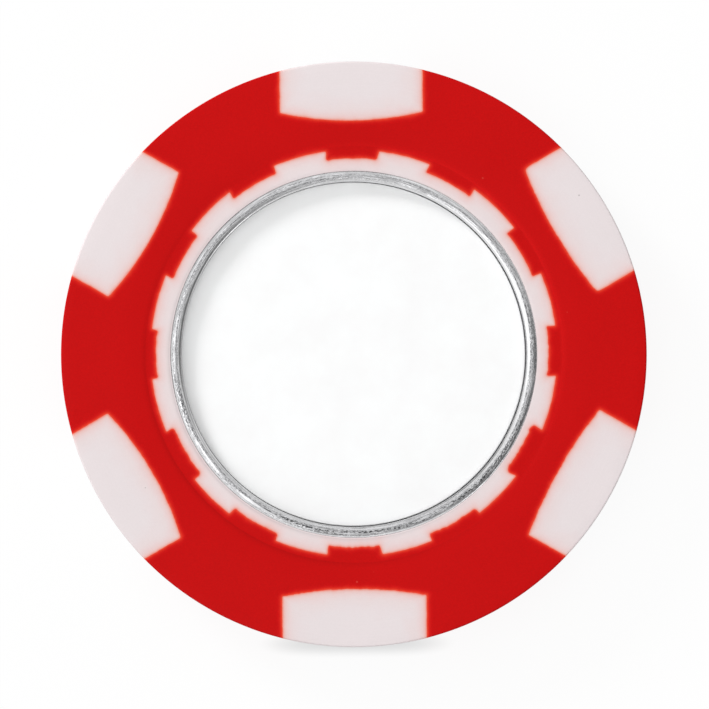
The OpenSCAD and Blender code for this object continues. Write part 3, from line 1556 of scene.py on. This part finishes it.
RED_PLASTIC = ShotPlastic(
    name="red_plastic",
    reach_mm=0.45,
    stops=(
        (0.0, (234, 84, 66)), (0.11, (229, 67, 47)), (0.22, (223, 48, 32)), (0.33, (216, 35, 25)),
        (0.44, (210, 25, 20)), (0.67, (202, 12, 13)), (1.0, (197, 9, 10)),
    ),
    # Painted shade along the recess's step, paler towards the upper right and darker towards the lower left
    painted_step_shade=0.02,
    painted_side_light=0.14,
    grain=0.07,
    roughness=0.34,
    specular=0.07,
)
WHITE_PLASTIC = ShotPlastic(
    name="white_plastic",
    reach_mm=2.0,
    stops=(
        (0.0, (236, 132, 114)), (0.025, (235, 154, 141)), (0.05, (234, 180, 171)), (0.075, (233, 191, 186)),
        (0.1, (233, 197, 193)), (0.15, (233, 204, 202)), (0.2, (232, 208, 207)), (0.3, (232, 213, 213)),
        (0.4, (231, 216, 216)), (0.7, (231, 219, 220)), (1.0, (231, 221, 222)),
    ),
    speck=(150, 140, 140),
    speck_share=0.06,
    speck_mix=0.5,
    lines=0.011,
    # Painted shade round the marker's pocket, beside the rim, darkest towards the lower left
    painted_step_shade=0.08,
    painted_side_light=0.1,
    painted_light_toward_deg=50.0,
    painted_step_r=12.61,
    painted_step_w=(0.05, 0.3),
    mottle=0.008,
    grain=0.016,
    roughness=0.36,
    specular=0.3,
    grain_depth_mm=0.0010,
)


@dataclass(frozen=True)
class WornNickel(Finish):
    """Bright nickel with grooves and fine lines round the rim, dark specks worn along its crest, and painted
    highlights.

    The bands map the sine of the angle round the chip, from the lower edge to the upper one, to a share.
    """

    name: str = "worn_nickel"
    colour: Colour = (221, 221, 223)
    # Paler colour painted as light on the inner wall, the outer edge and the inner slope
    painted_light_colour: Colour = (231, 231, 232)
    tarnish: Colour = (66, 66, 68)
    groove: Grain = Grain(0.15, 1.0, squeeze=0.035)
    groove_depth_mm: float = 0.03
    line: Grain = Grain(0.055, 2.0, 0.6, 0.36, 0.6, 0.04)
    line_tones: Pair = (1.1, 0.66)
    line_depth_mm: float = 0.010
    lane: Grain = Grain(0.11, 1.0, 0.5, 0.42, 0.54, 0.02)
    blot: Grain = Grain(0.06, 2.0, 0.6, 0.44, 0.55, 0.33)
    speck_depth_mm: float = 0.004
    dent: Grain = Grain(0.16, 2.0, 0.55)
    dent_depth_mm: float = 0.002
    crest_r: float = 12.17
    crest_w: float = 0.36
    crest_least: float = 0.3
    wear_band: Band = (-0.6, 0.5, 1.0, 0.6)
    rim_z: float = 3.85
    rim_soft: float = 0.02
    # Painted highlight on the rim's outer edge
    edge_highlight_r: Pair = (12.35, 12.46)
    edge_highlight: float = 0.8
    # Painted highlight on the inner slope, mostly at the left and the right, where the slope is also glossier
    # and smooth
    inner_r: Pair = (11.95, 12.05)
    inner_polish_and_highlight: float = 0.85
    inner_gloss: float = 0.08
    inner_bands: tuple[Band, Band] = ((-0.95, -0.5, 0.25, 1.0), (0.6, 0.98, 1.0, 0.35))
    # Painted light on the inner wall, paler and matt, which also lifts the shade on the face beside it
    wall_r: Pair = (11.84, 11.9)
    wall_matt: float = 0.3
    roughness: Pair = (0.12, 0.32)

    def dress(self, nodes: Nodes) -> dict[str, object]:
        """Fills in the material's nodes.

        Args:
            nodes: The tree.

        Returns:
            What goes into each input of the main shader.
        """
        where = nodes.place()
        turn, radius, z = nodes.polar(where)
        grooves, lines, lanes, blots = (
            nodes.noise(self.unrolled(nodes, turn, radius, z, grain.squeeze), grain)
            for grain in (self.groove, self.line, self.lane, self.blot)
        )
        dents = nodes.noise(where, self.dent)
        across = nodes.math("SINE", turn)
        off = nodes.math("ABSOLUTE", nodes.math("SUBTRACT", radius, self.crest_r * MM))
        crest = nodes.spread(off, 0.0, self.crest_w * MM, 1.0, self.crest_least)
        wear = nodes.times(crest, nodes.spread(across, *self.wear_band))
        specks = nodes.times(nodes.ease(blots, self.blot), nodes.ease(lanes, self.lane), wear)
        worn = nodes.ramp(specks, graded(((0.0, self.colour), (1.0, self.tarnish))))
        worn = nodes.scaled(worn, nodes.ease(lines, self.line, *self.line_tones))

        rim_reach = (self.rim_z - self.rim_soft, self.rim_z + self.rim_soft)
        below = self.beyond(nodes, z, rim_reach, 1.0, 0.0)
        above = nodes.rest(below)
        # Painted light: the inner wall below the rim gets the paler colour, so that it looks lit and lifts
        # the shade on the face beside it
        wall = nodes.times(below, self.beyond(nodes, radius, self.wall_r, 1.0, 0.0))
        # Painted highlight: the inner slope gets the paler colour, mostly at the left and the right, and is
        # glossier and smooth there
        inner = self.beyond(nodes, radius, self.inner_r, self.inner_polish_and_highlight, 0.0)
        smooth = nodes.times(inner, *(nodes.spread(across, *band) for band in self.inner_bands), above)
        # Painted highlight: the outer edge of the rim gets the paler colour
        edge = nodes.times(self.beyond(nodes, radius, self.edge_highlight_r, 0.0, self.edge_highlight), above)
        painted_light_share = nodes.math("ADD", wall, nodes.math("ADD", edge, smooth, clamp=True), clamp=True)

        gloss = nodes.ease(dents, self.dent, *self.roughness)
        gloss = nodes.math("SUBTRACT", gloss, nodes.times(smooth, self.inner_gloss))
        height = nodes.times(nodes.math("SUBTRACT", grooves, 0.5), self.groove_depth_mm)
        fine = nodes.times(nodes.math("SUBTRACT", lines, 0.5), self.line_depth_mm)
        height = nodes.math("ADD", height, fine)
        height = nodes.math("SUBTRACT", height, nodes.times(specks, self.speck_depth_mm))
        height = nodes.math("ADD", height, nodes.times(dents, self.dent_depth_mm))
        return {
            "Base Color": nodes.mix(painted_light_share, worn, linear(*self.painted_light_colour)),
            "Roughness": nodes.math("ADD", gloss, nodes.times(wall, self.wall_matt)),
            "Normal": nodes.bump(nodes.times(height, nodes.rest(smooth)), 1.0),
            "Metallic": 1.0,
        }

    def beyond(self, nodes: Nodes, length: Socket, reach: Pair, to_low: float, to_high: float) -> Socket:
        """Changes from one share to another between two lengths in millimetres."""
        return nodes.spread(length, reach[0] * MM, reach[1] * MM, to_low, to_high)

    def unrolled(self, nodes: Nodes, turn: Socket, radius: Socket, z: Socket, squeeze: float) -> Socket:
        """Shortens the way round the rim, so that marks on it come out long.

        Args:
            nodes: The tree.
            turn: Angle in radians.
            radius: Distance from the axis.
            z: Height.
            squeeze: Share of the length that is kept.

        Returns:
            Coordinates in metres.
        """
        small_r = self.crest_r * MM * squeeze
        x, y = (nodes.times(nodes.math(wave, turn), small_r) for wave in ("COSINE", "SINE"))
        return nodes.join(x, y, nodes.math("ADD", radius, z))


@dataclass(frozen=True)
class WhiteVinyl(Finish):
    """Plain white face disc with a soft sheen."""

    name: str = "white_vinyl"
    bright: Colour = (253, 254, 254)
    dull: Colour = (250, 250, 250)
    cloud: Grain = Grain(3.0, 4.0, 0.6, 0.35, 0.65)
    skin: Grain = Grain(0.05)
    skin_depth_mm: float = 0.0012
    roughness: Pair = (0.33, 0.43)
    specular: float = 0.4

    def dress(self, nodes: Nodes) -> dict[str, object]:
        """Fills in the material's nodes.

        Args:
            nodes: The tree.

        Returns:
            What goes into each input of the main shader.
        """
        where = nodes.place()
        cloudy = nodes.ease(nodes.noise(where, self.cloud), self.cloud)
        skin = nodes.noise(where, self.skin)
        return {
            "Base Color": nodes.ramp(cloudy, graded(((0.0, self.dull), (1.0, self.bright)))),
            "Roughness": nodes.ease(skin, self.skin, *self.roughness),
            "Normal": nodes.bump(skin, self.skin_depth_mm),
            "Specular IOR Level": self.specular,
        }


@dataclass(frozen=True)
class PlainSteel(Finish):
    """Rolled or plated steel with fine grain along one direction."""

    name: str = "plain_steel"
    bright: Colour = (196, 197, 200)
    dull: Colour = (150, 152, 156)
    rolled: Grain = Grain(0.12, 3.0, 0.6, 0.36, 0.64)
    rolled_depth_mm: float = 0.004
    stretch: float = 0.12
    cloud: Grain = Grain(2.2, 3.0, 0.6)
    roughness: Pair = (0.27, 0.44)

    def dress(self, nodes: Nodes) -> dict[str, object]:
        """Fills in the material's nodes.

        Args:
            nodes: The tree.

        Returns:
            What goes into each input of the main shader.
        """
        where = nodes.place()
        squeeze = nodes.add("ShaderNodeVectorMath", operation="MULTIPLY")
        nodes.link(where, squeeze.inputs[0])
        squeeze.inputs[1].default_value = (self.stretch, 1.0, 1.0)
        rolled = nodes.noise(squeeze.outputs[0], self.rolled)
        cloudy = nodes.noise(where, self.cloud)
        mixed = nodes.times(nodes.math("ADD", rolled, cloudy), 0.5)
        return {
            "Base Color": nodes.ramp(
                nodes.ease(mixed, self.rolled), graded(((0.0, self.dull), (1.0, self.bright)))
            ),
            "Roughness": nodes.ease(cloudy, self.cloud, *self.roughness),
            "Normal": nodes.bump(rolled, self.rolled_depth_mm),
            "Metallic": 1.0,
        }


MAGNET_PLATE = PlainSteel(
    name="magnet_plate", bright=(214, 214, 216), dull=(178, 179, 182), roughness=(0.15, 0.32), stretch=1.0
)
PUNCHED_STEEL = PlainSteel(name="punched_steel")


def hand_over(piece: bpy.types.Object, body: str, node: str, finish: Finish) -> None:
    """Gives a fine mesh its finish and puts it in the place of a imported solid.

    Args:
        piece: The mesh.
        body: The body that it moves with.
        node: The solid that it replaces.
        finish: The finish.
    """
    piece.data.materials.append(finish.make())
    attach(piece, body)
    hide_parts(node)


@dataclass
class Chip:
    """The chip without its marker: two mouldings, the magnet and the weight ring."""

    sizes: ChipSizes = field(default_factory=ChipSizes)
    body: str = "chip"

    def build(self) -> None:
        """Makes the mouldings and dresses the pieces inside them."""
        planner = FacePlanner(self.sizes, BorderMaker(self.sizes))
        front, back = planner.plan(Face.FRONT), planner.plan(Face.BACK)
        LOG.info("faces: %d and %d points", len(front.points), len(back.points))
        for shot, name, node, finish in (
            (Shot.RED, "red_moulding", "red_body", RED_PLASTIC),
            (Shot.WHITE, "white_moulding", "white_core", WHITE_PLASTIC),
        ):
            piece = Moulding(shot, self.sizes, planner, front, back).build(name)
            hand_over(piece, self.body, node, finish)
        self.dress("magnet", MAGNET_PLATE)
        self.dress("weight_ring", PUNCHED_STEEL)

    def dress(self, node: str, finish: Finish) -> None:
        """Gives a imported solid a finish.

        Args:
            node: The solid's name.
            finish: The finish.
        """
        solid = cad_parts[node]
        solid.data.materials.clear()
        solid.data.materials.append(finish.make())
        LOG.info("%s: packed solid with %s", node, finish.name)


@dataclass(frozen=True)
class Dent:
    """One dent in the rim: its direction, place across the rim, width, depth and length over width."""

    toward_deg: float
    offset: float
    width: float
    depth: float
    longer: float


@dataclass
class Marker:
    """The lift-out marker: a drawn cup with a crowned rim, and a blank white face in it.

    Sizes are in millimetres. Names that end in _rows say where rows of points lie along a wall or a floor.
    A dent's place is a share of half the rim's width, and its depth and length are shares of its own width.
    The nick is one large dent, with its place and depth in millimetres.
    """

    radius: float = 12.5
    height: float = 2.0
    sheet: float = 0.7
    edge_r: float = 0.3
    crown: float = 0.12
    crown_soft: float = 0.006
    crown_power: int = 10
    bore_soft: float = 0.12
    floor_z: float = 2.0
    columns: int = 720
    crown_n: int = 29
    edge_n: int = 6
    bore_n: int = 4
    base_rows: tuple[float, ...] = (0.25, 0.5, 0.75, 0.92)
    wall_rows: tuple[float, ...] = (0.35, 0.7, 0.95)
    bore_rows: tuple[float, ...] = (0.05, 0.35, 0.7)
    bed_rows: tuple[float, ...] = (0.9, 0.6, 0.3)
    cup_sharp_deg: float = 55.0
    dents: int = 340
    dent_across: Pair = (-0.9, 0.95)
    dent_w: Pair = (0.04, 0.13)
    dent_depth: Pair = (0.02, 0.07)
    dent_longer: Pair = (1.0, 3.5)
    nick: Dent = Dent(64.5, -0.02, 0.2, 0.03, 1.2)
    face_r: float = 11.75
    face_t: float = 0.5
    face_shift: Pair = (-0.043, 0.012)
    face_soft: float = 0.07
    face_bevel: float = 0.03
    face_n: int = 360
    under_rows: tuple[float, ...] = (0.3, 0.6, 0.9)
    over_rows: tuple[float, ...] = (0.97, 0.9, 0.8, 0.65, 0.45, 0.2)
    face_sharp_deg: float = 50.0
    body: str = "marker"

    def crown_height(self, across: np.ndarray) -> np.ndarray:
        """Height of the crowned rim above the cup's foot.

        Args:
            across: Distances from the middle of the rim, outwards positive.

        Returns:
            One height for each distance.
        """
        half = self.sheet / 2
        bend = (half ** 2 + self.crown ** 2) / (2 * self.crown)
        eased = self.crown_soft * (np.abs(across) / half) ** self.crown_power
        return self.height - bend + np.sqrt(bend ** 2 - across ** 2) - eased

    def cup_profile(self) -> list[tuple[float, float, bool]]:
        """The cup's rows, from under its middle to inside it.

        Returns:
            Radius and height of each row, and whether it lies on the rim.
        """
        rows: list[tuple[float, float, bool]] = []
        for share in self.base_rows:
            rows.append((self.radius * share, 0.0, False))
        for turn in np.linspace(0.0, QUARTER, self.edge_n):
            inwards, up = 1 - math.sin(turn), 1 - math.cos(turn)
            rows.append((self.radius - self.edge_r * inwards, self.edge_r * up, False))
        half = self.sheet / 2
        middle = self.radius - half
        top = self.height - self.crown - self.crown_soft
        for share in self.wall_rows:
            rows.append((self.radius, self.edge_r + (top - self.edge_r) * share, False))
        across = half * np.cos(np.linspace(0.0, math.pi, self.crown_n))
        for offset, height in zip(across, self.crown_height(across)):
            rows.append((middle + float(offset), float(height), True))
        bore = self.radius - self.sheet
        low = self.sheet + self.bore_soft
        for share in self.bore_rows:
            rows.append((bore, top + (low - top) * share, False))
        for turn in np.linspace(0.0, QUARTER, self.bore_n):
            inwards, down = 1 - math.cos(turn), 1 - math.sin(turn)
            rows.append((bore - self.bore_soft * inwards, self.sheet + self.bore_soft * down, False))
        for share in self.bed_rows:
            rows.append((bore * share, self.sheet, False))
        return rows

    def cup(self) -> bpy.types.Object:
        """Makes the cup, with small dents in its rim.

        Returns:
            The object.
        """
        rng = np.random.default_rng(CUP_SEED)
        angles = turns(self.columns)
        half = self.sheet / 2
        middle = self.radius - half
        low, high = self.dent_across
        places = np.append(rng.uniform(0, 2 * np.pi, self.dents), math.radians(self.nick.toward_deg))
        offsets = np.append(rng.uniform(low * half, high * half, self.dents), self.nick.offset)
        widths = rng.uniform(*self.dent_w, self.dents)
        depths = np.append(widths * rng.uniform(*self.dent_depth, self.dents), self.nick.depth)
        widths = np.append(widths, self.nick.width)
        longer = np.append(rng.uniform(*self.dent_longer, self.dents), self.nick.longer)
        along = middle * ((angles[:, None] - places[None, :] + np.pi) % (2 * np.pi) - np.pi)
        soup = MeshSoup()
        foot = soup.peak(self.floor_z)
        last: list[int] = []
        for radius, height, on_rim in self.cup_profile():
            level_z = np.full(self.columns, self.floor_z + height)
            if on_rim:
                gap = (radius - middle - offsets)[None, :] / widths
                level_z -= (depths * np.exp(-0.5 * ((along / (widths * longer)) ** 2 + gap ** 2))).sum(axis=1)
            row = soup.add(raised(circle(radius, angles), level_z))
            if last:
                soup.strip(last, row, closed=True)
            else:
                soup.fan(row, foot)
            last = row
        soup.fan(last, soup.peak(self.floor_z + self.sheet))
        return soup.build("marker_rim_cup", self.cup_sharp_deg)

    def face(self) -> bpy.types.Object:
        """Makes the white face disc with soft edges.

        Returns:
            The object.
        """
        low = self.floor_z + self.sheet
        high = low + self.face_t
        angles = turns(self.face_n)
        rows = [(self.face_r * share, low) for share in self.under_rows]
        rows += [(self.face_r - self.face_bevel, low), (self.face_r, low + self.face_bevel)]
        for turn in np.linspace(0.0, QUARTER, self.edge_n):
            inwards, down = 1 - math.cos(turn), 1 - math.sin(turn)
            rows.append((self.face_r - self.face_soft * inwards, high - self.face_soft * down))
        rows += [(self.face_r * share, high) for share in self.over_rows]
        soup = MeshSoup()
        start = soup.peak(low)
        first = soup.add(raised(circle(rows[0][0], angles), low))
        soup.fan(first, start)
        last = soup.revolve(rows[1:], first, angles)
        soup.fan(last, soup.peak(high))
        soup.shift(self.face_shift)
        return soup.build("marker_white_face", self.face_sharp_deg)

    def build(self) -> None:
        """Makes and dresses both pieces."""
        hand_over(self.cup(), self.body, "marker_cup", WornNickel())
        hand_over(self.face(), self.body, "marker_face", WhiteVinyl())


@dataclass(frozen=True)
class Lamp:
    """One soft round lamp that points at the chip, in metres."""

    name: str
    place: Place
    size: float
    watts: float
    aim: Place = (0.0, 0.0, 0.002)

    def build(self) -> None:
        """Adds the lamp."""
        data = bpy.data.lights.new(self.name, "AREA")
        data.shape = "DISK"
        data.size = self.size
        data.energy = self.watts
        lamp = bpy.data.objects.new(self.name, data)
        lamp.location = self.place
        lamp.visible_glossy = False
        ahead = Vector(self.aim) - Vector(self.place)
        lamp.rotation_euler = ahead.to_track_quat("-Z", "Y").to_euler()
        bpy.context.scene.collection.objects.link(lamp)


@dataclass(frozen=True)
class Patch:
    """A round part of the room that is brighter or darker than the rest."""

    toward_deg: float
    tilt_deg: float
    radius_deg: float
    soft_deg: float
    gain: float

    def factor(self, nodes: Nodes, way: Socket) -> Socket:
        """Adds the patch to a world.

        Args:
            nodes: The world's tree.
            way: Direction of the ray.

        Returns:
            1 outside the patch and its gain inside.
        """
        turn, tilt = math.radians(self.toward_deg), math.radians(self.tilt_deg)
        flat = math.sin(tilt)
        node = nodes.add("ShaderNodeVectorMath", operation="DOT_PRODUCT")
        nodes.link(way, node.inputs[0])
        node.inputs[1].default_value = (flat * math.cos(turn), flat * math.sin(turn), math.cos(tilt))
        outer = math.cos(math.radians(self.radius_deg + self.soft_deg))
        inner = math.cos(math.radians(max(self.radius_deg - self.soft_deg, 0.0)))
        return nodes.spread(node.outputs["Value"], outer, inner, 1.0, self.gain)


@dataclass
class Studio:
    """Pale floor, soft light and the camera.

    Lengths are in metres, apart from the lens, its sensor and the reach of the shade at the chip's foot,
    which are in millimetres.
    """

    frame_px: int = 709
    px_per_mm: float = 14.648
    centre_px: Pair = (353.854, 354.326)
    roll_deg: float = 0.5
    lens: float = 200.0
    sensor: float = 36.0
    near_clip: float = 0.01
    focus_z: float = 0.0036
    floor_z: float = -0.00001
    floor_reach: float = 1.5
    floor_tones: Pair = (0.5, 0.96)
    floor_rough: float = 0.9
    floor_specular: float = 0.1
    floor_shade: float = 0.09
    foot_shade: float = 0.27
    foot_reach: Pair = (7.0, 1.05)
    foot_power: float = 4.0
    white: Linear = (1.0, 1.0, 1.0, 1.0)
    levels: tuple[Pair, ...] = ((0.0, 0.79), (0.5, 0.85), (0.9, 0.945), (1.0, 0.945))
    patches: tuple[Patch, ...] = (
        Patch(0.0, 0.0, 14.0, 9.0, 0.6),
        Patch(203.0, 24.0, 18.0, 12.0, 1.8),
        Patch(187.0, 55.0, 14.0, 8.0, 1.3),
        Patch(345.0, 62.0, 27.0, 11.0, 0.19),
        Patch(308.0, 42.0, 18.0, 10.0, 0.4),
        Patch(30.0, 52.0, 18.0, 12.0, 0.6),
        Patch(325.0, 92.0, 24.0, 8.0, 3.0),
        Patch(135.0, 92.0, 26.0, 8.0, 0.2),
        Patch(88.0, 92.0, 22.0, 8.0, 0.3),
        Patch(182.0, 92.0, 22.0, 8.0, 0.3),
    )
    lamps: tuple[Lamp, ...] = (
        Lamp("key", (-0.575, 0.575, 0.337), 0.25, 4.4),
    )

    def camera(self) -> None:
        """Adds the camera straight above the chip, at the photograph's framing."""
        px = MM / self.px_per_mm
        data = bpy.data.cameras.new("camera")
        data.lens = self.lens
        data.sensor_width = self.sensor
        data.clip_start = self.near_clip
        camera = bpy.data.objects.new("camera", data)
        away = self.lens / self.sensor * self.frame_px * px
        middle = self.frame_px / 2
        aside = np.array([[middle - self.centre_px[0], self.centre_px[1] - middle]]) * px
        right, up = turned(aside, -self.roll_deg)[0]
        camera.location = (right, up, self.focus_z + away)
        camera.rotation_euler = (0.0, 0.0, math.radians(-self.roll_deg))
        bpy.context.scene.collection.objects.link(camera)
        bpy.context.scene.camera = camera

    def floor(self) -> None:
        """Adds the floor, white to the camera and in mirrors apart from the chip's soft shadow."""
        mesh = bpy.data.meshes.new("floor")
        reach = self.floor_reach
        corners = [(x * reach, y * reach, self.floor_z) for x, y in ((-1, -1), (1, -1), (1, 1), (-1, 1))]
        mesh.from_pydata(corners, [], [(0, 1, 2, 3)])
        floor = bpy.data.objects.new("floor", mesh)
        bpy.context.scene.collection.objects.link(floor)
        material = bpy.data.materials.new("pale_floor")
        material.use_nodes = True
        nodes = Nodes(material.node_tree)
        shader = material.node_tree.nodes["Principled BSDF"]
        tone = nodes.spread(nodes.seeing(Ray.CAMERA), 0.0, 1.0, *self.floor_tones)
        nodes.link(tone, shader.inputs["Base Color"])
        shader.inputs["Roughness"].default_value = self.floor_rough
        shader.inputs["Specular IOR Level"].default_value = self.floor_specular
        glow = nodes.add("ShaderNodeEmission")
        glow.inputs["Color"].default_value = self.white
        nodes.link(self.foot(nodes), glow.inputs["Strength"])
        mix = nodes.add("ShaderNodeMixShader")
        nodes.link(nodes.times(nodes.seeing(*Ray), 1 - self.floor_shade), mix.inputs[0])
        nodes.link(shader.outputs[0], mix.inputs[1])
        nodes.link(glow.outputs[0], mix.inputs[2])
        nodes.link(mix.outputs[0], material.node_tree.nodes["Material Output"].inputs["Surface"])
        mesh.materials.append(material)

    def foot(self, nodes: Nodes) -> Socket:
        """Adds the soft shade on the floor under the chip's lower edge.

        Args:
            nodes: The floor's tree.

        Returns:
            1 on the open floor, less in the shade.
        """
        x, y, _ = nodes.split(nodes.place())
        wide, deep = (reach * MM for reach in self.foot_reach)
        aside = nodes.math("ABSOLUTE", nodes.math("DIVIDE", x, wide))
        below = nodes.math("DIVIDE", nodes.math("ADD", y, ChipSizes.chip_r * MM), deep)
        away = nodes.math("ADD", nodes.math("POWER", aside, self.foot_power), nodes.times(below, below))
        near = nodes.math("SUBTRACT", 1.0, away, clamp=True)
        return nodes.rest(nodes.times(near, near, self.foot_shade))

    def world(self) -> None:
        """Adds soft light from all sides, and patches in it such as the dim one where a camera would hang."""
        world = bpy.data.worlds.new("soft_room")
        bpy.context.scene.world = world
        world.use_nodes = True
        nodes = Nodes(world.node_tree)
        way = nodes.add("ShaderNodeTexCoord").outputs["Generated"]
        tones = [(place, (level, level, level, 1.0)) for place, level in self.levels]
        room = nodes.mix(nodes.seeing(*Ray), nodes.ramp(nodes.split(way)[2], tones), self.white)
        gain = nodes.times(*(patch.factor(nodes, way) for patch in self.patches))
        # The camera sees none of the patches
        open_view = nodes.seeing(Ray.CAMERA)
        gain = nodes.math("ADD", nodes.times(gain, nodes.rest(open_view)), open_view)
        back = world.node_tree.nodes["Background"]
        nodes.link(nodes.scaled(room, gain), back.inputs["Color"])
        back.inputs["Strength"].default_value = 1.0

    def build(self) -> None:
        """Sets the stage."""
        self.camera()
        self.floor()
        self.world()
        for lamp in self.lamps:
            lamp.build()
        bpy.context.scene.view_settings.view_transform = "Standard"


def main() -> None:
    """Builds the studio, the chip and its marker."""
    logging.basicConfig(level=logging.INFO, format="%(name)s: %(message)s")
    Studio().build()
    Chip().build()
    Marker().build()


if __name__ == "__main__":
    main()
